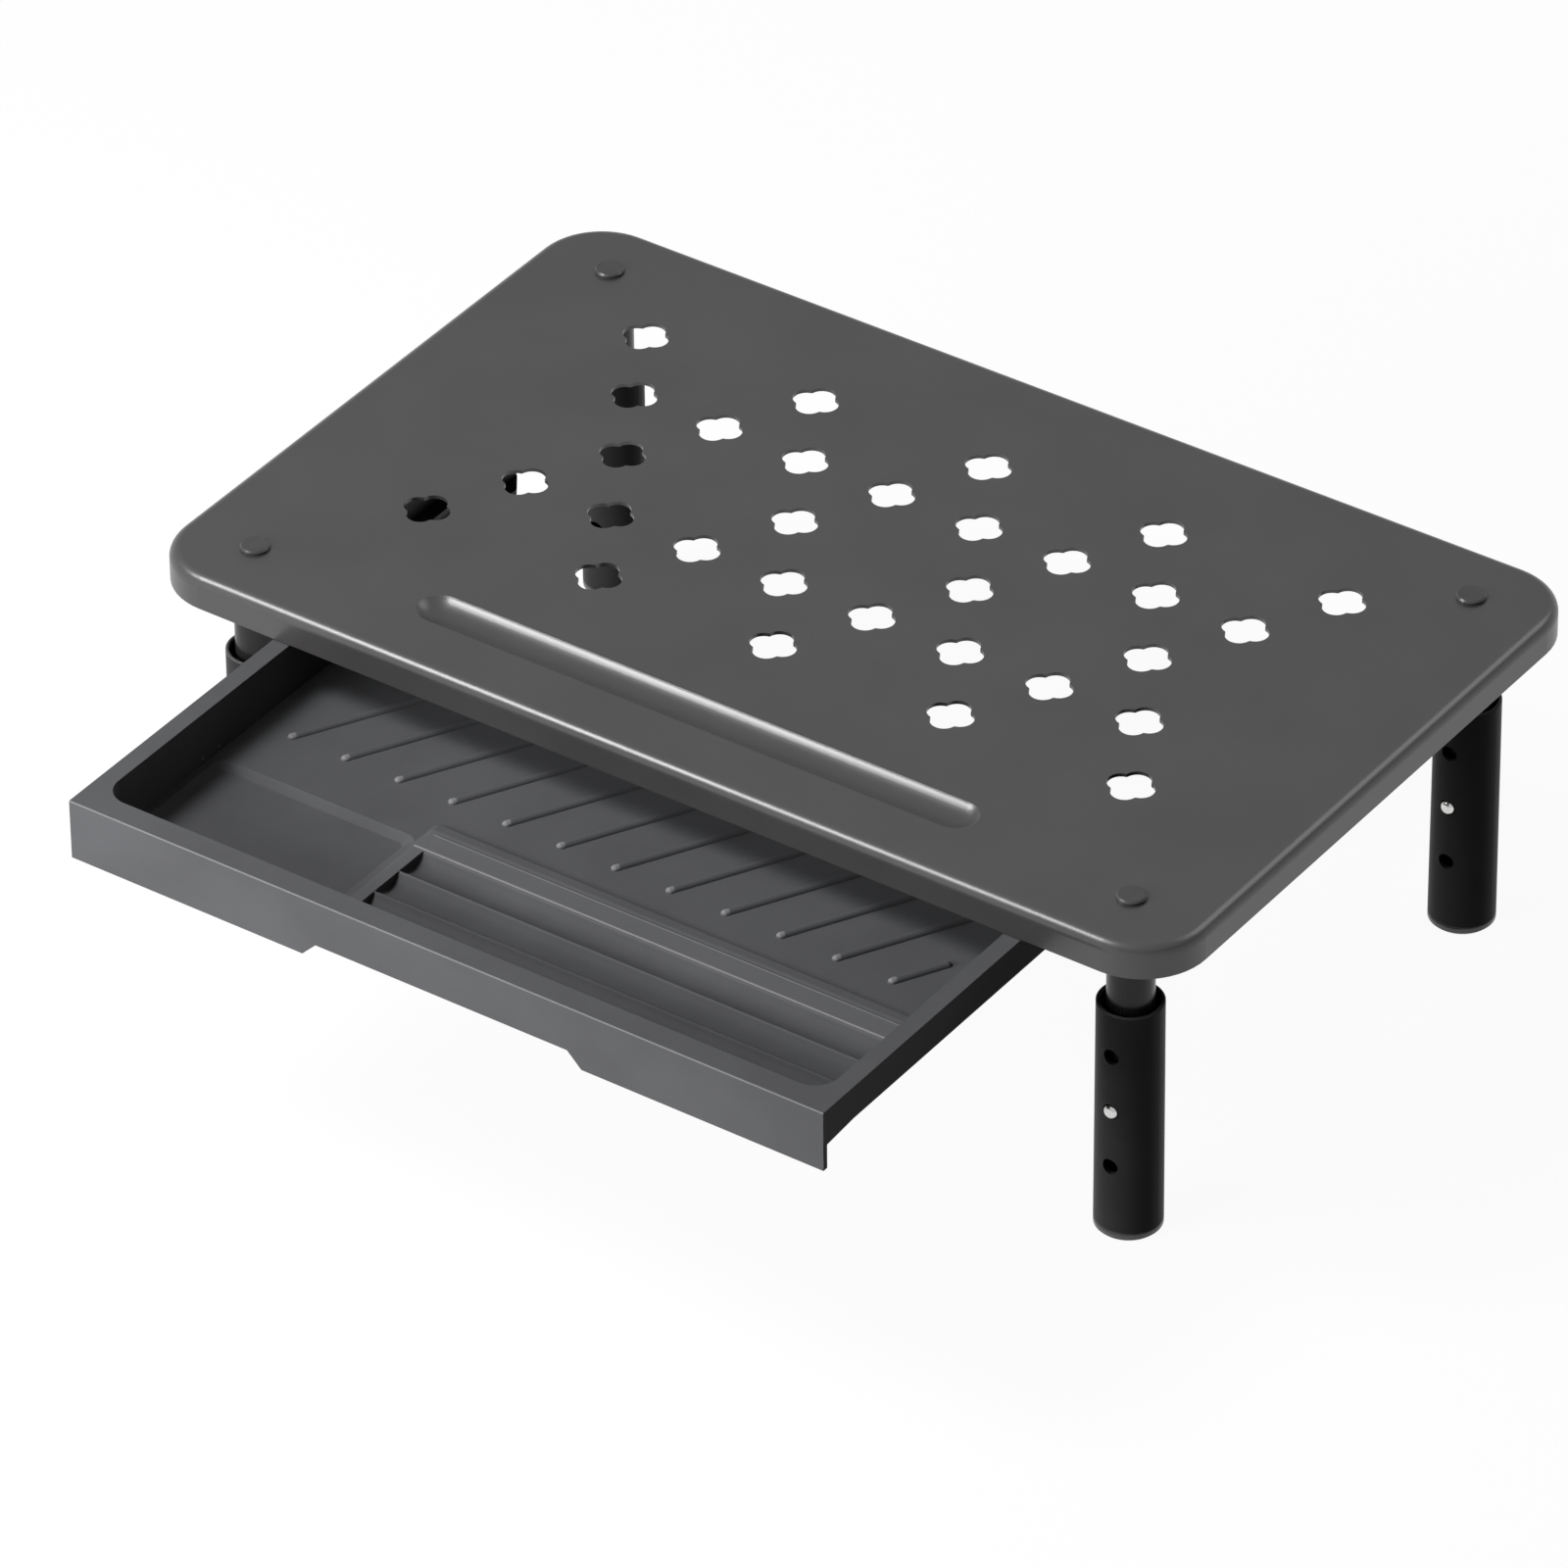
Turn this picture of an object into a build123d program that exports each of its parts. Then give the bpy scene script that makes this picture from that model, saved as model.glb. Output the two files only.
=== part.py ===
from build123d import *
from math import acos, cos, degrees, radians, sin, sqrt, tan
import os

os.makedirs("parts", exist_ok=True)

# Millimetres. The origin is the centre of the platform's top face, +Z is up and the front is towards -Y.
# The drawer is drawn as in the photo, pulled out, and the buttons stand in the middle hole of their legs.

# Platform, drawn from one steel sheet
plate_width = 370.0
plate_depth = 230.0
skirt_height = 11.0
sheet = 1.2
plan_radius = 22.0
edge_radius = 3.5

# Perforation: crossed diagonals of quatrefoils
cross_count = 4
steps_per_cross = 4
hole_step_x = 16.0
hole_step_y = 28.6
perforation_y = 11.1
lobe_radius = 4.3
lobe_offset = 3.45
notch_round = 0.5

# Pen trough pressed into the platform
trough_length = 187.0
trough_y = -86.8
trough_half_width = 7.0
trough_wall_radius = 7.4
trough_wall_angle = 61.0
trough_lip = 0.5

# Legs
leg_inset_x = 26.3
leg_inset_y = 23.0
upper_tube_radius = 7.25
upper_tube_wall = 1.2
upper_tube_end = -84.0
lower_tube_top_radius = 10.25
lower_tube_bottom_radius = 10.5
lower_tube_bore = 9.0
lower_tube_top = -36.5
lower_tube_bottom = -115.7
rim_chamfer = 0.4
slide_clearance = 0.06

# Height holes and snap buttons
button_z = -71.7
hole_pitch = 20.0
hole_radius = 2.6
button_radius = 2.3
button_proud = 1.1
button_tip_round = 1.6
button_flange_radius = 3.2
button_flange = 0.8
pin_clearance = 0.1

# Button spring, a bent strip
spring_sheet = 0.5
spring_width = 4.4
spring_reach = 20.0
spring_tail = 5.0
spring_bend = 1.0

# Glide sleeve, guide bush and foot cap
sleeve_height = 8.0
sleeve_lip = 1.0
bush_drop = 6.0
bush_height = 6.0
foot_thickness = 2.7
foot_plug = 9.0
foot_wall = 1.8
foot_chamfer = 0.9
tread_depth = 0.6

# Studs and threaded plugs that join the legs to the platform
stud_head_radius = 4.6
stud_head = 1.3
stud_chamfer = 0.5
stud_radius = 3.0
stud_length = 14.0
plug_length = 18.0

# Drawer rails and their fixings
rail_leg_gap = 1.0
rail_flange = 9.0
rail_wall = 1.8
rail_lip = 4.8
rail_setback = 17.0
rail_length = 108.9
lip_clip_x = 4.6
lip_clip_y = 6.6
gusset = 6.0
gusset_inset = 6.0
weld_stud_radius = 2.0
weld_stud_spare = 1.0
stud_bore_clearance = 0.25
nut_flats = 7.0
nut_height = 3.2
nut_inset = 20.0
nut_count = 3

# Drawer tray
drawer_open = 100.0
drawer_depth = 170.0
drawer_drop = 0.5
drawer_side_gap = 1.2
rail_play = 0.1
front_height = 20.6
front_thickness = 1.9
side_height = 11.1
side_rim = 5.9
front_rim = 8.2
wall = 2.0
draft_angle = 4.0
inner_round = 8.0
floor_drop = 16.5
tray_floor = 1.6

# Finger notch in the lower edge of the drawer front
notch_width = 90.4
notch_height = 5.0
notch_slope = 5.0

# Stops: a toe behind the drawer front, a lug at the back and a rib in the rail
toe_length = 14.9
toe_drop = 1.2
lug_length = 3.0
lug_proud = 0.8
stop_rib_length = 3.0
stop_rib_inset = 30.0

# Pen block: a low step in the floor with the channels cut into it and a ledge on top of it
block_rise = 1.2
block_slope = 2.2
block_back_width = 5.2
channel_pitch = 12.1
channel_count = 3
channel_depth = 3.0
channel_land = 9.65
channel_right_gap = 8.0
divider_x = -50.5
divider_width = 3.7
ledge_rise = 0.6
ledge_width = 7.9
ledge_round = 3.0

# Pocket to the left of the pen block
pocket_depth = 2.4
pocket_back = 5.6
pocket_border = 2.3
pocket_round = 5.0
pocket_floor_round = 2.0
pocket_slope = 3.6
pocket_divider_slope = 5.8

# Eased edges of the drawer
front_ease = 0.4
ledge_ease = 0.25

# Diagonal floor ribs
rib_pitch = 19.8
rib_angle = 61.0
rib_radius = 1.5
rib_height = 1.2
rib_front_gap = 12.8
rib_back_gap = 12.0
rib_left_gap = 13.7
rib_right_gap = 16.2

# Places that follow from the sizes
leg_x = plate_width / 2 - leg_inset_x
leg_y = plate_depth / 2 - leg_inset_y
corners = {
    "front_left": (-leg_x, -leg_y),
    "front_right": (leg_x, -leg_y),
    "back_left": (-leg_x, leg_y),
    "back_right": (leg_x, leg_y),
}
leg_spots = [(x, y) for x, y in corners.values()]
plate_under = -sheet
upper_tube_bore = upper_tube_radius - upper_tube_wall

# From the leg inwards: gap, rail flange, rail web, side gap, drawer
rail_outer = leg_x - max(lower_tube_bottom_radius, lower_tube_top_radius) - rail_leg_gap
rail_web = rail_outer - rail_flange
rail_inner = rail_web - rail_wall
drawer_half = rail_inner - drawer_side_gap
drawer_top = -skirt_height - drawer_drop
drawer_front = -plate_depth / 2 - drawer_open
drawer_back = drawer_front + drawer_depth
rail_front = -plate_depth / 2 + rail_setback
rail_back = rail_front + rail_length
side_bottom = drawer_top - side_height
lip_top = side_bottom - rail_play
nut_x = rail_web + rail_flange / 2
nut_step = (rail_length - 2 * nut_inset) / (nut_count - 1)
nut_spots = [(nut_x, rail_front + nut_inset + k * nut_step) for k in range(nut_count)]
nut_top = plate_under - rail_wall

# One quatrefoil: four round lobes that meet in four small notches
notch_at = (lobe_offset + sqrt(2 * lobe_radius**2 - lobe_offset**2)) / 2
lobe_tip = lobe_offset + lobe_radius
with BuildSketch() as quatrefoil:
    with BuildLine():
        ThreePointArc((notch_at, -notch_at), (lobe_tip, 0), (notch_at, notch_at))
        ThreePointArc((notch_at, notch_at), (0, lobe_tip), (-notch_at, notch_at))
        ThreePointArc((-notch_at, notch_at), (-lobe_tip, 0), (-notch_at, -notch_at))
        ThreePointArc((-notch_at, -notch_at), (0, -lobe_tip), (notch_at, -notch_at))
    make_face()
    fillet(quatrefoil.vertices(), notch_round)

# Every cross has one diagonal up and one down, and neighbours share their end holes
last_column = cross_count * steps_per_cross
spots = set()
for cross in range(cross_count):
    for step in range(steps_per_cross + 1):
        spots.add((cross * steps_per_cross + step, step))
        spots.add((cross * steps_per_cross + step, steps_per_cross - step))
hole_spots = [
    ((i - last_column / 2) * hole_step_x, perforation_y + (j - steps_per_cross / 2) * hole_step_y)
    for i, j in sorted(spots)
]

# Trough: a flat floor between round walls, drawn as half a cross-section and turned about each end
trough_flat = trough_half_width - trough_wall_radius * sin(radians(trough_wall_angle))
trough_centre = trough_wall_radius * cos(radians(trough_wall_angle))
trough_end = Plane((-trough_length / 2, trough_y, 0), x_dir=(0, 1, 0), z_dir=(1, 0, 0))
trough_turn = Axis((-trough_length / 2, trough_y, 0), (0, 0, 1))
grooves = []
for radius, level in ((trough_wall_radius + sheet, -sheet / 2), (trough_wall_radius, sheet)):
    climb = degrees(acos((trough_centre - level) / radius))
    with BuildPart() as groove:
        with BuildSketch(trough_end) as half_section:
            with BuildLine():
                groove_wall = CenterArc((trough_flat, trough_centre), radius, -90, climb)
                Polyline(groove_wall @ 1, (0, level), (0, trough_centre - radius), groove_wall @ 0)
            make_face()
        revolve(axis=trough_turn)
        extrude(half_section.sketch, amount=trough_length, dir=(1, 0, 0))
        mirror(about=Plane.XZ.offset(-trough_y))
        mirror(about=Plane.YZ)
    grooves.append(groove.part)
trough_boss, trough_hollow = grooves

# Platform: a shallow pan, the trough pressed into it and the holes punched through it
with BuildPart() as top_plate:
    with BuildSketch(Plane.XY.offset(-skirt_height)):
        RectangleRounded(plate_width, plate_depth, plan_radius)
    extrude(amount=skirt_height)
    fillet(top_plate.faces().sort_by(Axis.Z)[-1].edges(), edge_radius)
    offset(amount=-sheet, openings=top_plate.faces().sort_by(Axis.Z)[0])
    add(trough_boss)
    add(trough_hollow, mode=Mode.SUBTRACT)
    trough_edges = (
        top_plate.edges()
        .filter_by_position(Axis.Z, -0.01, 0.01)
        .filter_by_position(Axis.Y, trough_y - trough_half_width - 0.1, trough_y + trough_half_width + 0.1)
        .filter_by_position(Axis.X, -trough_length, trough_length)
    )
    fillet(trough_edges, trough_lip)
    with BuildSketch(Plane.XY):
        with Locations(*hole_spots):
            add(quatrefoil.sketch)
    extrude(amount=-2 * sheet, mode=Mode.SUBTRACT)
    with Locations(*leg_spots):
        Hole(stud_radius)
    with BuildSketch(Plane.XY.offset(plate_under)):
        with Locations(*nut_spots):
            Circle(weld_stud_radius)
        with Locations(*[(-x, y) for x, y in nut_spots]):
            Circle(weld_stud_radius)
    extrude(amount=-(rail_wall + nut_height + weld_stud_spare))
top_plate.part.label = "top_plate"
export_step(top_plate.part, "parts/top_plate.step")

# Studs: a low round head on the platform and a shank down into the plug of each leg
with BuildPart() as leg_studs:
    with BuildSketch(Plane.XY):
        with Locations(*leg_spots):
            Circle(stud_head_radius)
    extrude(amount=stud_head)
    chamfer(leg_studs.edges().group_by(Axis.Z)[-1], stud_chamfer)
    with BuildSketch(Plane.XY):
        with Locations(*leg_spots):
            Circle(stud_radius)
    extrude(amount=-stud_length)
leg_studs.part.label = "leg_studs"
export_step(leg_studs.part, "parts/leg_studs.step")

# The leg's pieces, one set for each corner
sleeve_radius = lower_tube_bore - slide_clearance
bush_bore = upper_tube_radius + slide_clearance
foot_bottom = lower_tube_bottom - foot_thickness
flange_seat = sqrt(upper_tube_bore**2 - button_flange_radius**2)
flange_back = flange_seat - button_flange
button_tip = lower_tube_top_radius + button_proud
spring_seat = sqrt(upper_tube_bore**2 - (spring_width / 2) ** 2)

for corner, (x, y) in corners.items():
    with BuildPart() as upper_tube:
        with BuildSketch(Plane((x, y, plate_under))):
            Circle(upper_tube_radius)
            Circle(upper_tube_bore, mode=Mode.SUBTRACT)
        extrude(amount=upper_tube_end - plate_under)
        with BuildSketch(Plane((x, y, button_z), x_dir=(1, 0, 0), z_dir=(0, -1, 0))):
            Circle(button_radius + pin_clearance)
        extrude(amount=2 * upper_tube_radius, mode=Mode.SUBTRACT)
    upper_tube.part.label = "upper_tube_" + corner
    export_step(upper_tube.part, "parts/upper_tube_" + corner + ".step")

    with BuildPart() as tube_plug:
        with BuildSketch(Plane((x, y, plate_under))):
            Circle(upper_tube_bore)
            Circle(stud_radius, mode=Mode.SUBTRACT)
        extrude(amount=-plug_length)
        chamfer(tube_plug.edges().group_by(Axis.Z)[0].sort_by(SortBy.LENGTH)[-1], upper_tube_wall)
    tube_plug.part.label = "tube_plug_" + corner
    export_step(tube_plug.part, "parts/tube_plug_" + corner + ".step")

    # Glide sleeve: a collar round the lower end of the upper tube, with a lip under the end
    with BuildPart() as glide_sleeve:
        with BuildSketch(Plane((x, y, upper_tube_end - sleeve_lip))):
            Circle(sleeve_radius)
            Circle(upper_tube_bore, mode=Mode.SUBTRACT)
        extrude(amount=sleeve_lip)
        with BuildSketch(Plane((x, y, upper_tube_end))):
            Circle(sleeve_radius)
            Circle(upper_tube_radius, mode=Mode.SUBTRACT)
        extrude(amount=sleeve_height)
    glide_sleeve.part.label = "glide_sleeve_" + corner
    export_step(glide_sleeve.part, "parts/glide_sleeve_" + corner + ".step")

    # Lower tube: slightly wider at the foot, an eased rim and three holes down its front
    with BuildPart() as lower_tube:
        with BuildSketch(Plane((x, y, 0), x_dir=(1, 0, 0), z_dir=(0, -1, 0))):
            with BuildLine():
                Polyline(
                    (lower_tube_bore, lower_tube_bottom),
                    (lower_tube_bottom_radius, lower_tube_bottom),
                    (lower_tube_top_radius, lower_tube_top),
                    (lower_tube_bore, lower_tube_top),
                    close=True,
                )
            make_face()
        revolve(axis=Axis((x, y, 0), (0, 0, 1)))
        chamfer(lower_tube.edges().group_by(Axis.Z)[-1], rim_chamfer)
        with BuildSketch(Plane((x, y, button_z), x_dir=(1, 0, 0), z_dir=(0, -1, 0))):
            with Locations((0, -hole_pitch), (0, 0), (0, hole_pitch)):
                Circle(hole_radius)
        extrude(amount=2 * lower_tube_bottom_radius, mode=Mode.SUBTRACT)
    lower_tube.part.label = "lower_tube_" + corner
    export_step(lower_tube.part, "parts/lower_tube_" + corner + ".step")

    with BuildPart() as guide_bush:
        with BuildSketch(Plane((x, y, lower_tube_top - bush_drop))):
            Circle(lower_tube_bore)
            Circle(bush_bore, mode=Mode.SUBTRACT)
        extrude(amount=-bush_height)
    guide_bush.part.label = "guide_bush_" + corner
    export_step(guide_bush.part, "parts/guide_bush_" + corner + ".step")

    # Foot cap: a disc under the tube, a hollow plug up inside it and two tread rings underneath
    with BuildPart() as foot_cap:
        with BuildSketch(Plane((x, y, foot_bottom))):
            Circle(lower_tube_bottom_radius)
        extrude(amount=foot_thickness)
        chamfer(foot_cap.edges().group_by(Axis.Z)[0], foot_chamfer)
        chamfer(foot_cap.edges().group_by(Axis.Z)[-1], rim_chamfer)
        with BuildSketch(Plane((x, y, lower_tube_bottom))):
            Circle(lower_tube_bore)
            Circle(lower_tube_bore - foot_wall, mode=Mode.SUBTRACT)
        extrude(amount=foot_plug)
        with BuildSketch(Plane((x, y, foot_bottom))):
            Circle(lower_tube_bore - foot_wall)
            Circle(lower_tube_bore - 2 * foot_wall, mode=Mode.SUBTRACT)
            Circle(lower_tube_bore - 3 * foot_wall)
            Circle(lower_tube_bore - 4 * foot_wall, mode=Mode.SUBTRACT)
        extrude(amount=tread_depth, mode=Mode.SUBTRACT)
    foot_cap.part.label = "foot_cap_" + corner
    export_step(foot_cap.part, "parts/foot_cap_" + corner + ".step")

    # Snap button: a round pin with a domed tip and a flange that stops it inside the upper tube
    with BuildPart() as snap_button:
        with BuildSketch(Plane((x, y - flange_back, button_z), x_dir=(1, 0, 0), z_dir=(0, -1, 0))):
            Circle(button_flange_radius)
        extrude(amount=button_flange)
        with BuildSketch(Plane((x, y - flange_seat, button_z), x_dir=(1, 0, 0), z_dir=(0, -1, 0))):
            Circle(button_radius)
        extrude(amount=button_tip - flange_seat)
        fillet(snap_button.edges().group_by(Axis.Y)[0], button_tip_round)
    snap_button.part.label = "snap_button_" + corner
    export_step(snap_button.part, "parts/snap_button_" + corner + ".step")

    # Button spring: a strip bent to a hairpin, one leg behind the button and one along the back of the tube
    with BuildPart() as button_spring:
        with BuildSketch(Plane((x, y, button_z), x_dir=(0, 1, 0), z_dir=(1, 0, 0))):
            with BuildLine() as strip:
                Polyline(
                    (-flange_back, -spring_tail),
                    (-flange_back, spring_tail),
                    (spring_seat, spring_reach),
                    (spring_seat, -spring_tail),
                )
                fillet(strip.vertices().group_by(Axis.Z)[1:], spring_bend)
                offset(amount=spring_sheet, side=Side.RIGHT)
            make_face()
        extrude(amount=spring_width / 2, both=True)
    button_spring.part.label = "button_spring_" + corner
    export_step(button_spring.part, "parts/button_spring_" + corner + ".step")

# Right rail: a channel open towards the drawer, hung on a flange with gussets, its lower lip clipped
gusset_spots = [y + nut_step / 2 for x, y in nut_spots[:-1]]
gusset_spots += [rail_front + gusset_inset, rail_back - gusset_inset]
lip_bottom = lip_top - rail_wall
lip_edge = rail_inner - rail_lip
with BuildPart() as rail_right:
    with BuildSketch(Plane.XZ.offset(-rail_back)):
        with BuildLine():
            Polyline(
                (rail_outer, plate_under),
                (rail_inner, plate_under),
                (rail_inner, drawer_top + rail_play + rail_wall),
                (lip_edge, drawer_top + rail_play + rail_wall),
                (lip_edge, drawer_top + rail_play),
                (rail_inner, drawer_top + rail_play),
                (rail_inner, lip_top),
                (lip_edge, lip_top),
                (lip_edge, lip_bottom),
                (rail_web, lip_bottom),
                (rail_web, plate_under - rail_wall),
                (rail_outer, plate_under - rail_wall),
                close=True,
            )
        make_face()
    extrude(amount=rail_length)
    for end, way in ((rail_front, 1), (rail_back, -1)):
        with BuildSketch(Plane.XY.offset(lip_bottom)):
            with BuildLine():
                Polyline(
                    (lip_edge, end),
                    (lip_edge + lip_clip_x, end),
                    (lip_edge, end + way * lip_clip_y),
                    close=True,
                )
            make_face()
        extrude(amount=rail_wall, mode=Mode.SUBTRACT)
    for spot in gusset_spots:
        with BuildSketch(Plane.XZ.offset(-spot - rail_wall / 2)):
            with BuildLine():
                Polyline(
                    (rail_web, plate_under - rail_wall),
                    (rail_web + gusset, plate_under - rail_wall),
                    (rail_web, plate_under - rail_wall - gusset),
                    close=True,
                )
            make_face()
        extrude(amount=rail_wall)
    with Locations((rail_inner, rail_front + stop_rib_inset, lip_top)):
        Box(lug_proud, stop_rib_length, side_height, align=(Align.MAX, Align.MIN, Align.MIN))
    with BuildSketch(Plane.XY.offset(plate_under)):
        with Locations(*nut_spots):
            Circle(weld_stud_radius + stud_bore_clearance)
    extrude(amount=-rail_wall, mode=Mode.SUBTRACT)
rail_right.part.label = "rail_right"
export_step(rail_right.part, "parts/rail_right.step")

with BuildPart() as rail_left:
    mirror(rail_right.part, about=Plane.YZ)
rail_left.part.label = "rail_left"
export_step(rail_left.part, "parts/rail_left.step")

# Rail nuts: one on each weld stud, tight under the rail flange
with BuildPart() as rail_nuts:
    with BuildSketch(Plane.XY.offset(nut_top)):
        with Locations(*nut_spots):
            RegularPolygon(nut_flats / 2, 6, major_radius=False)
            Circle(weld_stud_radius, mode=Mode.SUBTRACT)
        with Locations(*[(-x, y) for x, y in nut_spots]):
            RegularPolygon(nut_flats / 2, 6, major_radius=False)
            Circle(weld_stud_radius, mode=Mode.SUBTRACT)
    extrude(amount=-nut_height)
rail_nuts.part.label = "rail_nuts"
export_step(rail_nuts.part, "parts/rail_nuts.step")

# Drawer tray: places inside it
floor = drawer_top - floor_drop
inner_left = -drawer_half + side_rim
inner_right = drawer_half - side_rim
inner_front = drawer_front + front_rim
inner_back = drawer_back - side_rim
inner_width = inner_right - inner_left
inner_depth = inner_back - inner_front
inner_mid = (inner_front + inner_back) / 2
draft_in = floor_drop * tan(radians(draft_angle))
pocket_floor = floor - pocket_depth
tray_bottom = pocket_floor - tray_floor
channel_front = inner_front + draft_in + channel_land
channel_left = divider_x + divider_width
channel_right = inner_right - draft_in - channel_right_gap
block_top = floor + block_rise
ledge_front = channel_front + channel_count * channel_pitch
ledge_back = ledge_front + ledge_width
ledge_top = block_top + ledge_rise
block_back = ledge_back + block_back_width
channel_half = channel_pitch / 2
channel_arc = (channel_half**2 + channel_depth**2) / (2 * channel_depth)
pocket_lead = block_rise * pocket_slope / (block_rise + pocket_depth)
pocket_front = inner_front + draft_in + pocket_border - pocket_lead
pocket_left = inner_left + draft_in + pocket_border - pocket_lead
pocket_rear = ledge_front + pocket_back + pocket_lead

with BuildPart() as drawer_tray:
    # Hull of the tub, its walls drafted, deeper under the pocket and the channels than under the ribbed floor
    with BuildSketch(Plane.XY.offset(drawer_top)):
        with Locations((0, inner_mid)):
            RectangleRounded(inner_width + 2 * wall, inner_depth + 2 * wall, inner_round + wall)
    extrude(amount=-(floor_drop + tray_floor), taper=draft_angle)
    with BuildSketch(Plane.XY.offset(floor)):
        with Locations((inner_left + draft_in - wall / 2, inner_front + draft_in - wall / 2)):
            RectangleRounded(
                channel_right - inner_left - draft_in + wall,
                block_back - inner_front - draft_in + wall,
                inner_round,
                align=(Align.MIN, Align.MIN),
            )
    extrude(amount=tray_bottom - floor)
    # Rim round the tub, the side and back skirts and the front panel
    with BuildSketch(Plane.XY.offset(drawer_top)):
        with Locations((0, drawer_front)):
            Rectangle(2 * drawer_half, drawer_depth, align=(Align.CENTER, Align.MIN))
    extrude(amount=-wall)
    with BuildSketch(Plane.XY.offset(drawer_top)):
        with Locations((0, drawer_front)):
            Rectangle(2 * drawer_half, drawer_depth, align=(Align.CENTER, Align.MIN))
        with Locations((0, drawer_front + front_thickness)):
            Rectangle(
                2 * (drawer_half - wall),
                drawer_depth - front_thickness - wall,
                align=(Align.CENTER, Align.MIN),
                mode=Mode.SUBTRACT,
            )
    extrude(amount=-side_height)
    with BuildSketch(Plane.XZ.offset(-drawer_front - front_thickness)):
        with BuildLine():
            Polyline(
                (-drawer_half, drawer_top),
                (-drawer_half, drawer_top - front_height),
                (-notch_width / 2 - notch_slope, drawer_top - front_height),
                (-notch_width / 2, drawer_top - front_height + notch_height),
                (notch_width / 2, drawer_top - front_height + notch_height),
                (notch_width / 2 + notch_slope, drawer_top - front_height),
                (drawer_half, drawer_top - front_height),
                (drawer_half, drawer_top),
                close=True,
            )
        make_face()
    extrude(amount=front_thickness)
    # Stop toes behind the front, in line with the side skirts, and stop lugs at the back
    for side in (-1, 1):
        with BuildSketch(Plane.YZ.offset(side * (drawer_half - wall / 2))):
            with BuildLine():
                Polyline(
                    (drawer_front + front_thickness, side_bottom),
                    (drawer_front + front_thickness, side_bottom - toe_drop),
                    (drawer_front + front_thickness + toe_length, side_bottom),
                    close=True,
                )
            make_face()
        extrude(amount=wall / 2, both=True)
        with Locations((side * drawer_half, drawer_back - lug_length / 2, drawer_top - side_height / 2)):
            Box(2 * lug_proud, lug_length, side_height - 2 * wall)
    # Inside of the tub
    with BuildSketch(Plane.XY.offset(drawer_top)):
        with Locations((0, inner_mid)):
            RectangleRounded(inner_width, inner_depth, inner_round)
    extrude(amount=-floor_drop, taper=draft_angle, mode=Mode.SUBTRACT)
    # Pen block, its left side sloped where it stands clear of the pocket, and the ledge on top of it
    with BuildSketch(Plane.XZ.offset(-block_back)):
        with BuildLine():
            Polyline(
                (divider_x - block_slope, floor),
                (divider_x, block_top),
                (inner_right, block_top),
                (inner_right, floor),
                close=True,
            )
        make_face()
    extrude(amount=block_back - inner_front)
    with BuildSketch(Plane.XY.offset(block_top)) as ledge:
        with Locations((divider_x, ledge_front)):
            Rectangle(inner_right - divider_x, ledge_width, align=(Align.MIN, Align.MIN))
        fillet(ledge.vertices().group_by(Axis.X)[0].sort_by(Axis.Y)[-1], ledge_round)
    extrude(amount=ledge_rise)
    # Pocket with sloping sides, the gentlest one beside the pen block
    with BuildSketch(Plane.XY.offset(block_top)):
        with Locations((pocket_left, pocket_front)):
            RectangleRounded(
                divider_x - pocket_left,
                pocket_rear - pocket_front,
                pocket_round,
                align=(Align.MIN, Align.MIN),
            )
    with BuildSketch(Plane.XY.offset(pocket_floor)):
        with Locations((pocket_left + pocket_slope, pocket_front + pocket_slope)):
            RectangleRounded(
                divider_x - pocket_left - pocket_slope - pocket_divider_slope,
                pocket_rear - pocket_front - 2 * pocket_slope,
                pocket_floor_round,
                align=(Align.MIN, Align.MIN),
            )
    loft(ruled=True, mode=Mode.SUBTRACT)
    # Pen channels: shallow round troughs side by side
    for k in range(channel_count):
        channel_mid = channel_front + (k + 0.5) * channel_pitch
        with BuildSketch(Plane.YZ.offset(channel_left)):
            with Locations((channel_mid, block_top + channel_arc - channel_depth)):
                Circle(channel_arc)
            with Locations((channel_mid, block_top)):
                Rectangle(
                    channel_pitch,
                    2 * channel_depth,
                    align=(Align.CENTER, Align.MAX),
                    mode=Mode.INTERSECT,
                )
        extrude(amount=channel_right - channel_left, mode=Mode.SUBTRACT)
    # Diagonal ribs on the floor: half-round bars with round ends, all starting on one line
    rib_start = block_back + rib_front_gap
    rib_first = inner_left + draft_in + rib_left_gap
    rib_right = inner_right - draft_in - rib_right_gap
    rib_rear = inner_back - draft_in - rib_back_gap
    rib_x = cos(radians(rib_angle))
    rib_y = sin(radians(rib_angle))
    rib_axis = floor + rib_height - rib_radius
    for k in range(int((rib_right - rib_first) // rib_pitch) + 1):
        x = rib_first + k * rib_pitch
        reach = min((rib_rear - rib_start) / rib_y, (rib_right - x) / rib_x)
        end = (x + reach * rib_x, rib_start + reach * rib_y, rib_axis)
        with BuildSketch(Plane((x, rib_start, rib_axis), x_dir=(0, 0, 1), z_dir=(rib_x, rib_y, 0))):
            Circle(rib_radius)
        extrude(amount=reach)
        with Locations((x, rib_start, rib_axis), end):
            Sphere(rib_radius)
    # Eased edges along the top of the front and round the ledge
    fillet(
        drawer_tray.edges()
        .filter_by(Axis.X)
        .filter_by_position(Axis.Y, drawer_front - 0.01, drawer_front + 0.01)
        .filter_by_position(Axis.Z, drawer_top - 0.01, drawer_top + 0.01),
        front_ease,
    )
    ledge_face = drawer_tray.faces().filter_by_position(Axis.Z, ledge_top - 0.01, ledge_top + 0.01)[0]
    fillet(ledge_face.edges().sort_by(Axis.X)[:-1], ledge_ease)
drawer_tray.part.label = "drawer_tray"
export_step(drawer_tray.part, "parts/drawer_tray.step")
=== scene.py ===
import math

import bpy
from mathutils import Matrix, Vector


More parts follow.
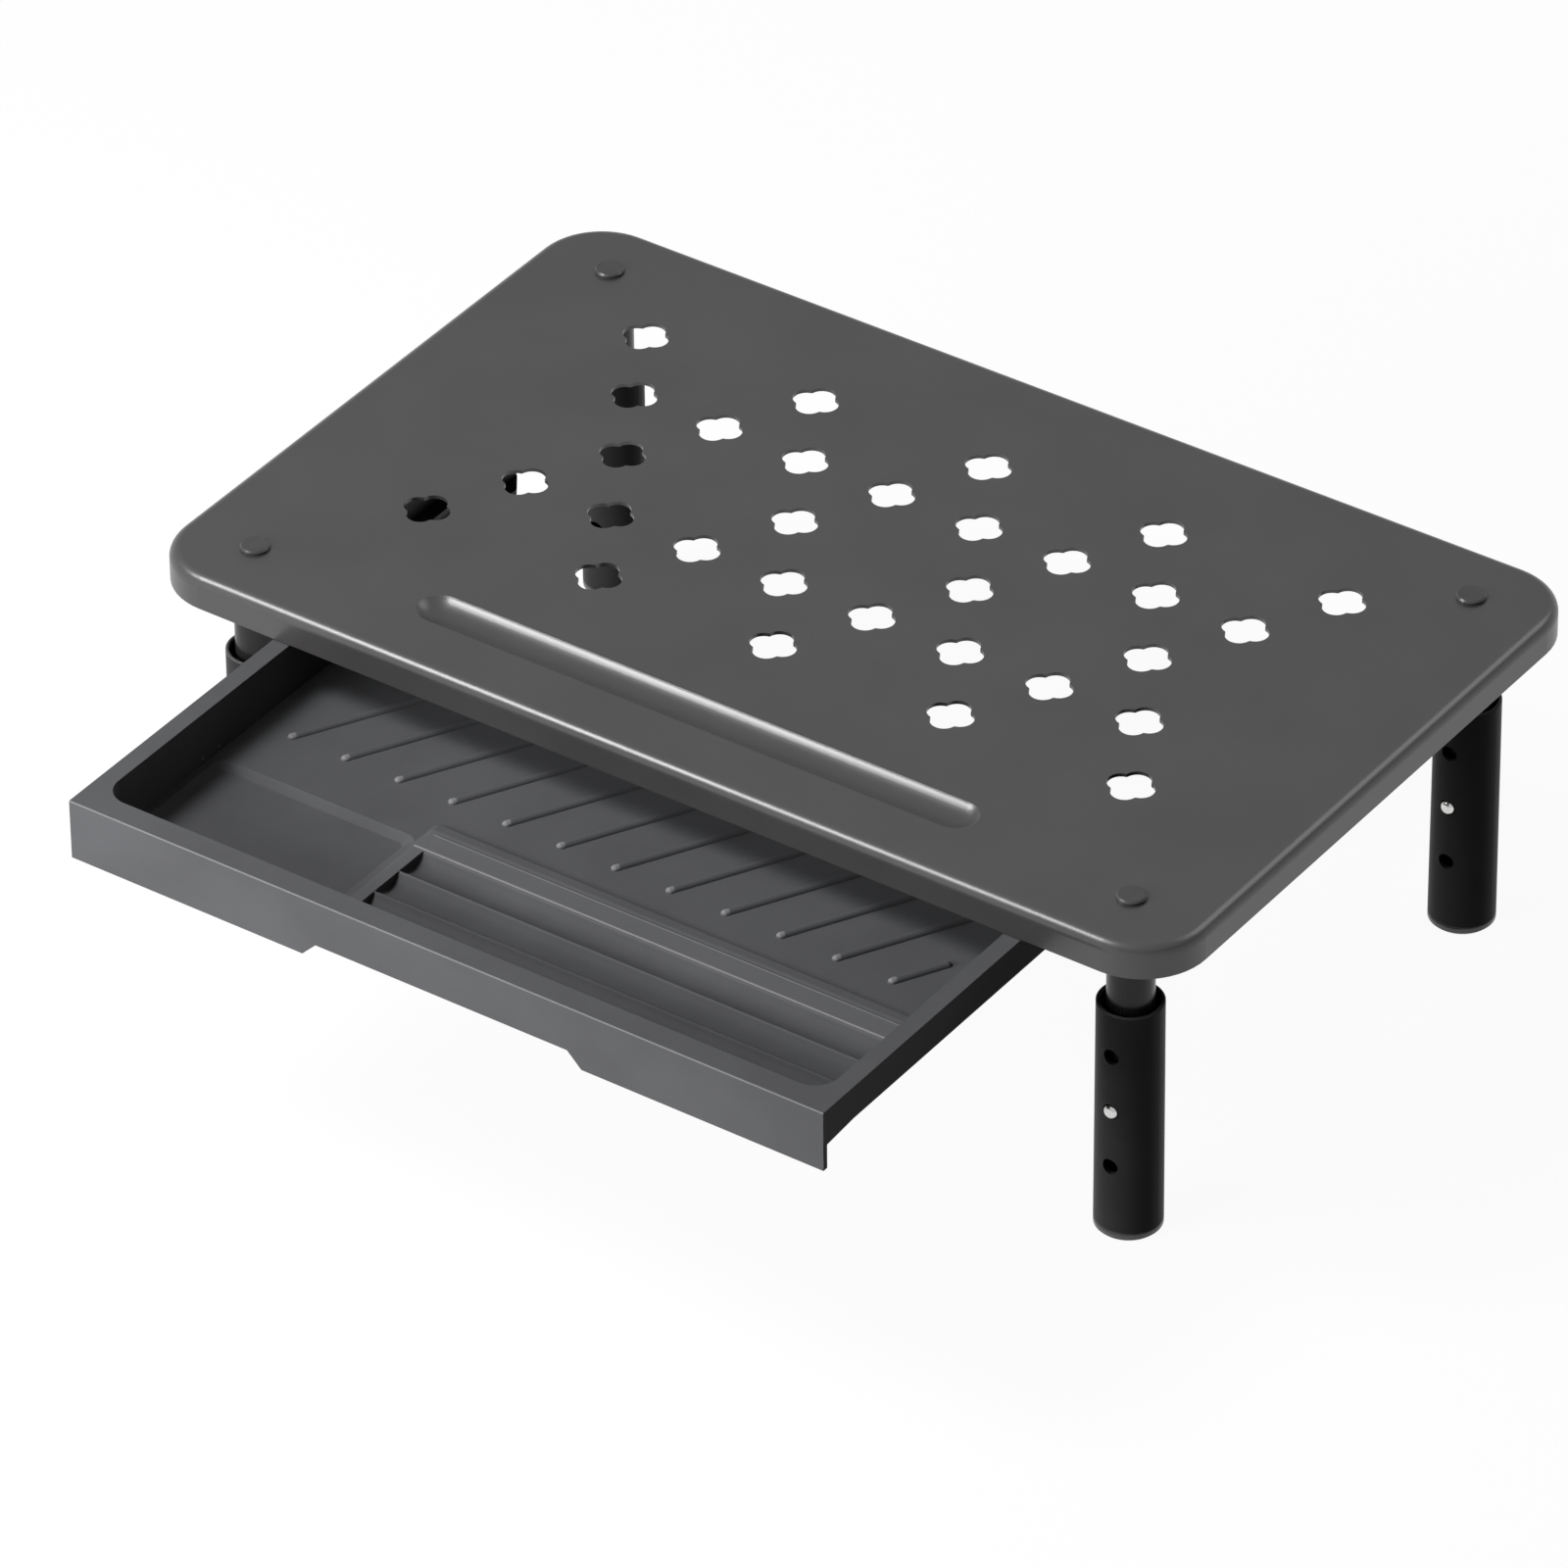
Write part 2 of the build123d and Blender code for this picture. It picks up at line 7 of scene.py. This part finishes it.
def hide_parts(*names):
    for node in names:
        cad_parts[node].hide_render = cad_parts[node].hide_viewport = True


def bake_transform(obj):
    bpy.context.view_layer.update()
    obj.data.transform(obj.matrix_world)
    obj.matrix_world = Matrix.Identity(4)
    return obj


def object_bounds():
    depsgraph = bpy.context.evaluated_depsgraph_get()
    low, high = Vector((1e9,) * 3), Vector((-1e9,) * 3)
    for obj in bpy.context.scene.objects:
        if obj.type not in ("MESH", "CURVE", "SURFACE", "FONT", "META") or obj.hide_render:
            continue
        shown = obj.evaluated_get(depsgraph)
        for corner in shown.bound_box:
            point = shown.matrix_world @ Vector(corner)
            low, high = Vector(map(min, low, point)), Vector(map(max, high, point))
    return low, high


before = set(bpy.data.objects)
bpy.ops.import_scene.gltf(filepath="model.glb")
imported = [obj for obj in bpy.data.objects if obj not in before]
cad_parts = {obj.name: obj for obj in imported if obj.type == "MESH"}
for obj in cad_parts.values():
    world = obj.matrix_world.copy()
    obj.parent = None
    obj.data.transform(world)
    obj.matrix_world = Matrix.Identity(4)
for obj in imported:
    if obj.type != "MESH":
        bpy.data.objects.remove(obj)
cad_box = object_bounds()

# Platform: one steel sheet drawn into a shallow pan, punched with quatrefoils and pressed with a pen trough.
# It is powder coated in a charcoal with a fine, slightly uneven grain, and everything else hangs from it.


class Field:
    """A value that changes over a surface. Sums on it add the shader nodes that work it out."""

    def __init__(self, tree, socket=None):
        self.tree = tree
        self.socket = socket

    def node(self, kind, settings, sockets, out=0):
        """Adds a node of that kind: its settings come first, then its sockets are linked or filled."""
        made = self.tree.nodes.new("ShaderNode" + kind)
        for name, value in settings.items():
            setattr(made, name, value)
        self.fill(made, sockets)
        return Field(self.tree, made.outputs[out])

    def fill(self, made, sockets):
        """Links each field to its socket, and sets each plain value on the socket itself."""
        for name, value in sockets.items():
            if isinstance(value, Field):
                self.tree.links.new(value.socket, made.inputs[name])
            else:
                made.inputs[name].default_value = value

    def sum(self, operation, a, b):
        return self.node("Math", {"operation": operation}, {0: a, 1: b})

    def __add__(self, other):
        return self.sum("ADD", self, other)

    __radd__ = __add__

    def __sub__(self, other):
        return self.sum("SUBTRACT", self, other)

    def __rsub__(self, other):
        return self.sum("SUBTRACT", other, self)

    def __mul__(self, other):
        return self.sum("MULTIPLY", self, other)

    __rmul__ = __mul__

    def __pow__(self, other):
        return self.sum("POWER", self, other)

    def most(self, other):
        return self.sum("MAXIMUM", self, other)

    def to_and_fro(self, reach):
        """Rises from 0 to the reach and falls to 0 again, over and over."""
        return self.sum("PINGPONG", self, reach)

    def size(self):
        return self.node("Math", {"operation": "ABSOLUTE"}, {0: self})

    def ramp(self, low, high):
        """Runs smoothly from 0 at low to 1 at high."""
        limits = {"Value": self, "From Min": low, "From Max": high}
        return self.node("MapRange", {"interpolation_type": "SMOOTHSTEP"}, limits)

    def between(self, starts, full, fades, ends):
        """Is 1 between the two middle values and runs smoothly to 0 at the outer ones."""
        return self.ramp(starts, full) * self.ramp(ends, fades)

    def tint(self, at_nought, at_one):
        """Mixes two colours, the first where the value is 0 and the second where it is 1."""
        return self.node("Mix", {"data_type": "RGBA"}, {0: self, 6: at_nought, 7: at_one}, 2)

    def stretch(self, x, y, z):
        return self.node("VectorMath", {"operation": "MULTIPLY"}, {0: self, 1: (x, y, z)})

    def axis(self, name):
        return self.node("SeparateXYZ", {}, {0: self}, name)

    def cloud(self, grain, detail=2.0, rough=0.5):
        """Soft noise whose lumps are about as wide as the grain, in millimetres."""
        weave = {"Vector": self, "Scale": 1 / grain, "Detail": detail, "Roughness": rough}
        return self.node("TexNoise", {}, weave)

    def bump(self, depth):
        """A normal from this height, where 1 stands that many millimetres proud."""
        return self.node("Bump", {}, {"Height": self, "Distance": depth / 1000})

    def mix_shader(self, share, other):
        """Gives that share of the other shader and the rest of this one."""
        return self.node("MixShader", {}, {0: share, 1: self, 2: other})


def surface(name):
    """Starts a finish and gives where each point lies on the stand, in millimetres."""
    finish = bpy.data.materials.new(name)
    finish.use_nodes = True
    spot = Field(finish.node_tree).node("TexCoord", {}, {}, "Object")
    return finish, spot.node("VectorMath", {"operation": "SCALE"}, {0: spot, "Scale": 1000.0})


def coat(finish, sockets):
    """Gives the finish its colour, gloss and grain."""
    tree = finish.node_tree
    Field(tree).fill(tree.nodes["Principled BSDF"], sockets)


def dress(finish, *names):
    """Puts the finish on those pieces."""
    for name in names:
        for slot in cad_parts[name].material_slots:
            slot.material = finish


deck_paint, spot = surface("charcoal_powder_coat")
charcoal_deep = (0.0275, 0.0264, 0.0268, 1)
charcoal_pale = (0.0335, 0.0321, 0.0326, 1)
grain_depth = 0.010
drift = spot.cloud(46.0, 3.0, 0.55)
fleck = spot.cloud(0.9)
peel = spot.cloud(2.6, rough=0.45)
tone = (drift * 0.75 + fleck * 0.25).ramp(0.34, 0.66)
grain = (peel * 0.7 + fleck * 0.3) * grain_depth
# The real trough is shallower than the solid, so a bump eases the slope of its walls by two fifths.
trough_half_length = 93.5
trough_place = -86.8
trough_flat = 0.53
trough_wall_radius = 7.4
trough_wall_reach = 6.27
trough_fill = 0.40
past_end = (spot.axis("X").size() - trough_half_length).most(0.0)
from_line = spot.axis("Y") - trough_place
up_wall = ((past_end * past_end + from_line * from_line) ** 0.5 - trough_flat).most(0.0)
lowest = trough_wall_radius ** 2 - trough_wall_reach ** 2
hollow = (trough_wall_radius ** 2 - up_wall * up_wall).most(lowest) ** 0.5 - lowest ** 0.5
top_side = spot.node("NewGeometry", {}, {}, "True Normal").axis("Z").ramp(0.1, 0.4)
coat(deck_paint, {
    "Base Color": tone.tint(charcoal_deep, charcoal_pale),
    "Roughness": 0.27 + drift * 0.06 + fleck * 0.04,
    "Normal": (grain + hollow * top_side * trough_fill).bump(1.0),
    "Specular IOR Level": 0.75,
})
dress(deck_paint, "top_plate")

# Leg studs: a flat pressed head on the platform over every leg, its shank screwed down into the tube.
# They are blackened steel, a little plainer than the sheet and finely flecked by the blacking.
stud_black, spot = surface("blackened_stud")
blacking_deep = (0.028, 0.0272, 0.0275, 1)
blacking_pale = (0.037, 0.036, 0.0363, 1)
fleck = spot.cloud(1.1)
drift = spot.cloud(7.0)
coat(stud_black, {
    "Base Color": drift.ramp(0.3, 0.7).tint(blacking_deep, blacking_pale),
    "Roughness": 0.27 + fleck * 0.08,
    "Normal": fleck.bump(0.010),
    "Specular IOR Level": 0.5,
})
dress(stud_black, "leg_studs")

# Lower leg tubes: thick steel tube in satin black enamel, with a row of three height holes facing the front.
# Drawing leaves fine lines along the tube, and a pale line is painted at the top rim and the foot end as a
# highlight.
corners = ("front_left", "front_right", "back_left", "back_right")
leg_enamel, spot = surface("black_enamel_tube")
enamel_deep = (0.0222, 0.0222, 0.0230, 1)
enamel_pale = (0.0272, 0.0272, 0.0281, 1)
rim_highlight_grey = (0.085, 0.085, 0.087, 1)
rim_below, rim_top = -36.98, -36.86
foot_end_above, foot_end = -115.20, -115.40
height = spot.axis("Z")
lines = spot.stretch(1.0, 1.0, 0.02).cloud(0.7, rough=0.6)
drift = spot.cloud(18.0)
peel = spot.cloud(2.2)
enamel = drift.ramp(0.3, 0.7).tint(enamel_deep, enamel_pale)
# Painted highlight: a pale line round the top rim and the foot end of each tube.
rim_highlight_band = height.ramp(rim_below, rim_top).most(height.ramp(foot_end_above, foot_end))
painted_rim_highlight = rim_highlight_band * drift.ramp(0.15, 0.5)
coat(leg_enamel, {
    "Base Color": (painted_rim_highlight * 0.8).tint(enamel, rim_highlight_grey),
    "Roughness": 0.36 + drift * 0.06 + lines * 0.05,
    "Normal": (peel * 0.7 + lines * 0.3).bump(0.006),
    "Specular IOR Level": 0.035,
})
dress(leg_enamel, *["lower_tube_" + corner for corner in corners])

# Upper leg tubes: thinner steel tube in black enamel, held up to the platform by the studs.
# Each slides in its lower tube, which has rubbed faint lines along its lower end.
slide_enamel, spot = surface("rubbed_enamel_tube")
slide_deep = (0.009, 0.009, 0.0095, 1)
slide_rubbed = (0.022, 0.022, 0.0225, 1)
rub_starts, rub_full = -20.0, -44.0
lines = spot.stretch(1.0, 1.0, 0.015).cloud(0.6, rough=0.6)
drift = spot.cloud(14.0)
rub = lines.ramp(0.56, 0.74) * spot.axis("Z").ramp(rub_starts, rub_full)
coat(slide_enamel, {
    "Base Color": (drift.ramp(0.3, 0.7) * 0.5 + rub * 0.5).tint(slide_deep, slide_rubbed),
    "Roughness": 0.24 + drift * 0.05 + rub * 0.12,
    "Normal": lines.bump(0.005),
    "Specular IOR Level": 0.25,
})
dress(slide_enamel, *["upper_tube_" + corner for corner in corners])

# Tube plugs: turned steel plugs with a bright zinc plating, pressed into the tops of the upper tubes.
# The leg studs screw into them, and the lathe has left fine rings round them.
plug_zinc, spot = surface("zinc_plated_plug")
plating_dull = (0.40, 0.41, 0.42, 1)
plating_bright = (0.56, 0.57, 0.58, 1)
rings = spot.stretch(0.02, 0.02, 1.0).cloud(0.35)
bloom = spot.cloud(5.0, 3.0)
coat(plug_zinc, {
    "Base Color": bloom.ramp(0.3, 0.75).tint(plating_dull, plating_bright),
    "Roughness": 0.28 + bloom * 0.14 + rings * 0.08,
    "Normal": rings.bump(0.012),
    "Metallic": 1.0,
})
dress(plug_zinc, *["tube_plug_" + corner for corner in corners])

# Sleeves and bushes: black nylon rings that guide one tube in the other and keep them from rattling.
# A sleeve is snapped on the lower end of each upper tube, and a bush into each lower tube.
nylon, spot = surface("black_nylon")
nylon_deep = (0.010, 0.010, 0.0105, 1)
nylon_pale = (0.016, 0.016, 0.0165, 1)
fleck = spot.cloud(0.6)
drift = spot.cloud(6.0)
coat(nylon, {
    "Base Color": drift.ramp(0.3, 0.7).tint(nylon_deep, nylon_pale),
    "Roughness": 0.46 + fleck * 0.12,
    "Normal": fleck.bump(0.02),
    "Specular IOR Level": 0.35,
})
dress(nylon, *["glide_sleeve_" + corner for corner in corners])
dress(nylon, *["guide_bush_" + corner for corner in corners])

# Foot caps: black moulded caps pushed up into the tubes, each standing on two tread rings.
# The band that shows under the tube is satin, and its lower edge is dulled by the desk.
foot_rubber, spot = surface("satin_foot_cap")
rubber_clean = (0.044, 0.044, 0.0448, 1)
rubber_scuffed = (0.060, 0.0592, 0.0585, 1)
scuff_starts, scuff_full = -116.9, -118.2
fleck = spot.cloud(0.5)
drift = spot.cloud(5.0)
scuff = spot.axis("Z").ramp(scuff_starts, scuff_full) * drift.ramp(0.25, 0.75)
coat(foot_rubber, {
    "Base Color": scuff.tint(rubber_clean, rubber_scuffed),
    "Roughness": 0.27 + fleck * 0.06 + scuff * 0.3,
    "Normal": fleck.bump(0.008),
    "Specular IOR Level": 0.6,
})
dress(foot_rubber, *["foot_cap_" + corner for corner in corners])

# Snap buttons: bright steel pins with a domed tip, pushed out through the middle hole by a spring.
# The tip is polished by the tube that it snaps into.
button_steel, spot = surface("bright_button")
steel_dull = (0.60, 0.595, 0.587, 1)
steel_bright = (0.72, 0.716, 0.707, 1)
rings = spot.stretch(1.0, 0.05, 1.0).cloud(0.5)
bloom = spot.cloud(1.6)
coat(button_steel, {
    "Base Color": bloom.ramp(0.3, 0.7).tint(steel_dull, steel_bright),
    "Roughness": 0.20 + bloom * 0.10 + rings * 0.05,
    "Normal": rings.bump(0.006),
    "Metallic": 1.0,
})
dress(button_steel, *["snap_button_" + corner for corner in corners])

# Button springs: a strip of blued spring steel bent into a hairpin inside every upper tube.
# It closes as the button is pressed: its front leg goes with the button, its back leg stays on the tube.
spring_steel, spot = surface("blued_spring")
blue_deep = (0.13, 0.14, 0.17, 1)
blue_pale = (0.20, 0.20, 0.22, 1)
lines = spot.stretch(1.0, 0.05, 0.05).cloud(0.3)
bloom = spot.cloud(4.0)
coat(spring_steel, {
    "Base Color": bloom.ramp(0.3, 0.7).tint(blue_deep, blue_pale),
    "Roughness": 0.30 + lines * 0.12,
    "Normal": lines.bump(0.006),
    "Metallic": 1.0,
})
dress(spring_steel, *["button_spring_" + corner for corner in corners])
for corner in corners:
    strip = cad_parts["button_spring_" + corner]
    hairpin = bpy.data.objects.new("hairpin_spring_" + corner, strip.data.copy())
    bpy.context.scene.collection.objects.link(hairpin)
    hairpin.matrix_world = strip.matrix_world.copy()
    hairpin.data.materials.clear()
    hairpin.data.materials.append(spring_steel)
    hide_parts("button_spring_" + corner)
    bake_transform(hairpin)

# Drawer rails: a pair of moulded black plastic channels under the platform, braced by small gussets.
# Each hangs on three studs welded under the sheet, and the drawer has polished lines along its lip.
rail_plastic, spot = surface("black_rail_plastic")
rail_deep = (0.0075, 0.0075, 0.008, 1)
rail_pale = (0.0135, 0.0135, 0.014, 1)
lip_starts, lip_full = -22.2, -22.7
fleck = spot.cloud(0.55)
drift = spot.cloud(22.0, 3.0)
streaks = spot.stretch(1.0, 0.03, 1.0).cloud(1.2).ramp(0.52, 0.72)
polish = streaks * spot.axis("Z").ramp(lip_starts, lip_full)
coat(rail_plastic, {
    "Base Color": (drift.ramp(0.3, 0.7) * 0.6 + polish * 0.4).tint(rail_deep, rail_pale),
    "Roughness": 0.50 + fleck * 0.12 - polish * 0.18,
    "Normal": fleck.bump(0.02),
    "Specular IOR Level": 0.25,
})
dress(rail_plastic, "rail_right", "rail_left")

# Rail nuts: zinc-plated steel hexagon nuts, one tight under the rail on every welded stud.
# The plating has bloomed a little unevenly, and the stud's end stands out of each.
nut_zinc, spot = surface("zinc_plated_nut")
nut_dull = (0.36, 0.37, 0.38, 1)
nut_bright = (0.54, 0.55, 0.56, 1)
bloom = spot.cloud(2.4, 3.0)
fleck = spot.cloud(0.4)
coat(nut_zinc, {
    "Base Color": bloom.ramp(0.3, 0.7).tint(nut_dull, nut_bright),
    "Roughness": 0.30 + bloom * 0.12 + fleck * 0.06,
    "Normal": fleck.bump(0.01),
    "Metallic": 1.0,
})
dress(nut_zinc, "rail_nuts")

# Drawer: one moulding in dark grey plastic with a fine spark-eroded grain, slid in on the two rails.
# Painted highlights run along its front lip, the ledge's edges and the rib ends, and the pen block's tops
# are painted lighter as if lit more.
drawer_plastic, spot = surface("dark_grey_moulding")
grey_deep = (0.0775, 0.0782, 0.0820, 1)
grey_pale = (0.0890, 0.0899, 0.0944, 1)
painted_light_land_grey = (0.118, 0.119, 0.123, 1)
edge_highlight_grey = (0.235, 0.235, 0.24, 1)
front_behind, front_face = -214.5, -214.95
rim_below, rim_top = -12.0, -11.6
ledge_middle, ledge_half_width = -155.75, 3.95
ledge_lip_core, ledge_lip_reach = 0.3, 0.7
ledge_lip_heights = (-26.7, -26.3, -26.1, -25.8)
first_rib, half_rib_step, rib_end_line = -114.5, 9.9, -134.2
rib_end_core, rib_end_reach = 1.2, 1.9
rib_end_heights = (-27.9, -27.2, -26.4, -25.8)
land_half_width, land_past_width = 124.2, 124.6
land_depths = (-204.8, -204.2, -150.0, -149.0)
land_heights = (-27.5, -26.9, -25.8, -25.2)
x, y, z = (spot.axis(name) for name in "XYZ")
fleck = spot.cloud(0.7)
drift = spot.cloud(38.0, 3.0, 0.55)
tone = (drift * 0.8 + fleck * 0.2).ramp(0.32, 0.68)
# Painted highlights: pale lines on the front lip, the ledge's edges and the rib ends, where light would
# catch them.
front_lip_highlight = y.ramp(front_behind, front_face) * z.ramp(rim_below, rim_top)
from_ledge_lip = ((y - ledge_middle).size() - ledge_half_width).size()
ledge_lip_highlight = from_ledge_lip.ramp(ledge_lip_reach, ledge_lip_core) * z.between(*ledge_lip_heights)
from_rib = (x - first_rib).to_and_fro(half_rib_step)
past_rib = y - rib_end_line
from_rib_end = (from_rib * from_rib + past_rib * past_rib) ** 0.5
rib_end_highlights = from_rib_end.ramp(rib_end_reach, rib_end_core) * z.between(*rib_end_heights)
pen_block = x.size().ramp(land_past_width, land_half_width) * y.between(*land_depths)
# Painted light: the pen block's tops are lighter, as if lit more than the shaded floor behind them.
painted_lit_lands = pen_block * z.between(*land_heights)
grey = (painted_lit_lands * (0.6 + drift * 0.4)).tint(tone.tint(grey_deep, grey_pale), painted_light_land_grey)
painted_edge_highlights = (front_lip_highlight * 0.6).most(ledge_lip_highlight).most(rib_end_highlights * 0.7)
coat(drawer_plastic, {
    "Base Color": painted_edge_highlights.tint(grey, edge_highlight_grey),
    "Roughness": 0.40 + drift * 0.08 + fleck * 0.05,
    "Normal": fleck.bump(0.014),
    "Specular IOR Level": 0.025,
})
dress(drawer_plastic, "drawer_tray")

# Floor: a plain white floor that the stand's feet rest on, wide enough to reach past every view.
# It shows white to the eye and in gloss, keeps a soft shadow, and throws little light back up.
floor_level = cad_box[0][2]
floor_reach = 12.0
floor_mesh = bpy.data.meshes.new("studio_floor")
floor_corners = [(-floor_reach, -floor_reach), (floor_reach, -floor_reach),
                 (floor_reach, floor_reach), (-floor_reach, floor_reach)]
floor_mesh.from_pydata([(x, y, floor_level) for x, y in floor_corners], [], [(0, 1, 2, 3)])
studio_floor = bpy.data.objects.new("studio_floor", floor_mesh)
bpy.context.scene.collection.objects.link(studio_floor)


def seen(tree):
    """1 for rays that come from the camera, a gloss or a clear piece, and 0 for the rest."""
    path = Field(tree)
    camera = path.node("LightPath", {}, {}, "Is Camera Ray")
    glossy = path.node("LightPath", {}, {}, "Is Glossy Ray")
    clear = path.node("LightPath", {}, {}, "Is Transmission Ray")
    return camera.most(glossy).most(clear)


floor_white = bpy.data.materials.new("floor_white")
floor_white.use_nodes = True
tree = floor_white.node_tree
paper_dull = (0.84, 0.84, 0.84, 1)
paper_white = (0.86, 0.86, 0.86, 1)
unseen_grey = (0.09, 0.09, 0.09, 1)
glow_share = 0.94
spread = Field(tree).node("TexCoord", {}, {}, "Object").cloud(0.6)
coat(floor_white, {
    "Base Color": spread.tint(paper_dull, paper_white),
    "Roughness": 1.0,
    "Specular IOR Level": 0.0,
})
paper = Field(tree, tree.nodes["Principled BSDF"].outputs[0])
glow = Field(tree).node("Emission", {}, {"Color": (1, 1, 1, 1), "Strength": 1.0})
unseen = Field(tree).node("BsdfDiffuse", {}, {"Color": unseen_grey})
floor_shader = unseen.mix_shader(seen(tree), paper.mix_shader(glow_share, glow))
tree.links.new(floor_shader.socket, tree.nodes["Material Output"].inputs["Surface"])
floor_mesh.materials.append(floor_white)

# Studio: a pale surround that shows only to the eye and in gloss, and four soft lamps round the stand.
# One lamp stands high at the front left, one shows only in gloss, and two fills show only on matt faces.
world = bpy.data.worlds.new("studio")
bpy.context.scene.world = world
world.use_nodes = True
tree = world.node_tree
tree.nodes.remove(tree.nodes["Background"])


def wall(strength):
    """A plain white wall of that brightness, where 1 is white."""
    return Field(tree).node("Background", {}, {"Color": (1, 1, 1, 1), "Strength": strength})


low_wall, middle_wall, high_wall, ambient = wall(0.92), wall(0.52), wall(0.86), wall(0.055)
height = Field(tree).node("TexCoord", {}, {}, "Generated").axis("Z")
lower_fade = height.ramp(0.12, 0.45)
upper_fade = height.ramp(0.54, 0.65)
surround = low_wall.mix_shader(lower_fade, middle_wall).mix_shader(upper_fade, high_wall)
studio_shader = ambient.mix_shader(seen(tree), surround)
tree.links.new(studio_shader.socket, tree.nodes["World Output"].inputs["Surface"])


def softbox(name, way, distance, width, tall, power):
    """Hangs a soft lamp in that direction from the stand, facing it."""
    lamp = bpy.data.lights.new(name, "AREA")
    lamp.shape = "RECTANGLE"
    lamp.size = width
    lamp.size_y = tall
    lamp.energy = power
    hung = bpy.data.objects.new(name, lamp)
    way = Vector(way).normalized()
    facing = way.to_track_quat("Z", "Y").to_matrix().to_4x4()
    hung.matrix_world = Matrix.Translation(way * distance) @ facing
    bpy.context.scene.collection.objects.link(hung)
    return hung


softbox("high_softbox", (-0.50, -0.383, 0.777), distance=1.7, width=0.60, tall=0.60, power=24.0)
edge_softbox = softbox("edge_softbox", (0.35, 0.62, 0.70), distance=1.7, width=0.9, tall=0.9, power=5.0)
edge_softbox.visible_diffuse = False
front_fill = softbox("front_fill", (-0.42, -0.88, 0.20), distance=1.1, width=0.9, tall=0.5, power=18.0)
back_fill = softbox("back_fill", (0.20, 0.93, 0.30), distance=1.5, width=1.2, tall=0.8, power=7.0)
for fill in (front_fill, back_fill):
    fill.visible_glossy = False

# Camera: it stands where the photograph was taken from, to the right and above, far off on a long lens.
# Its place, turn and lens were fitted to the holes, studs and edges, in pixels of the photograph.
azimuth = math.radians(35.2468)
elevation = math.radians(35.6569)
roll = math.radians(-0.5932)
focal = 12149.44
distance = 3.580282
pixel_x = 878.461
pixel_y = 583.795
frame_side = 1600.0
outward = math.cos(elevation)
back = Vector((math.sin(azimuth) * outward, -math.cos(azimuth) * outward, math.sin(elevation)))
level = Vector((math.cos(azimuth), math.sin(azimuth), 0))
upright = back.cross(level)
across = math.cos(roll) * level + math.sin(roll) * upright
up = math.cos(roll) * upright - math.sin(roll) * level
aside = (pixel_x - frame_side / 2) / focal * distance
above = (frame_side / 2 - pixel_y) / focal * distance
eye = distance * back - aside * across - above * up
lens = bpy.data.cameras.new("camera")
lens.sensor_width = 36.0
lens.lens = focal / frame_side * lens.sensor_width
lens.clip_end = 100.0
camera = bpy.data.objects.new("camera", lens)
turn = Matrix((across, up, back)).transposed().to_4x4()
camera.matrix_world = Matrix.Translation(eye) @ turn
bpy.context.scene.collection.objects.link(camera)
bpy.context.scene.camera = camera
bpy.context.scene.view_settings.view_transform = "Standard"
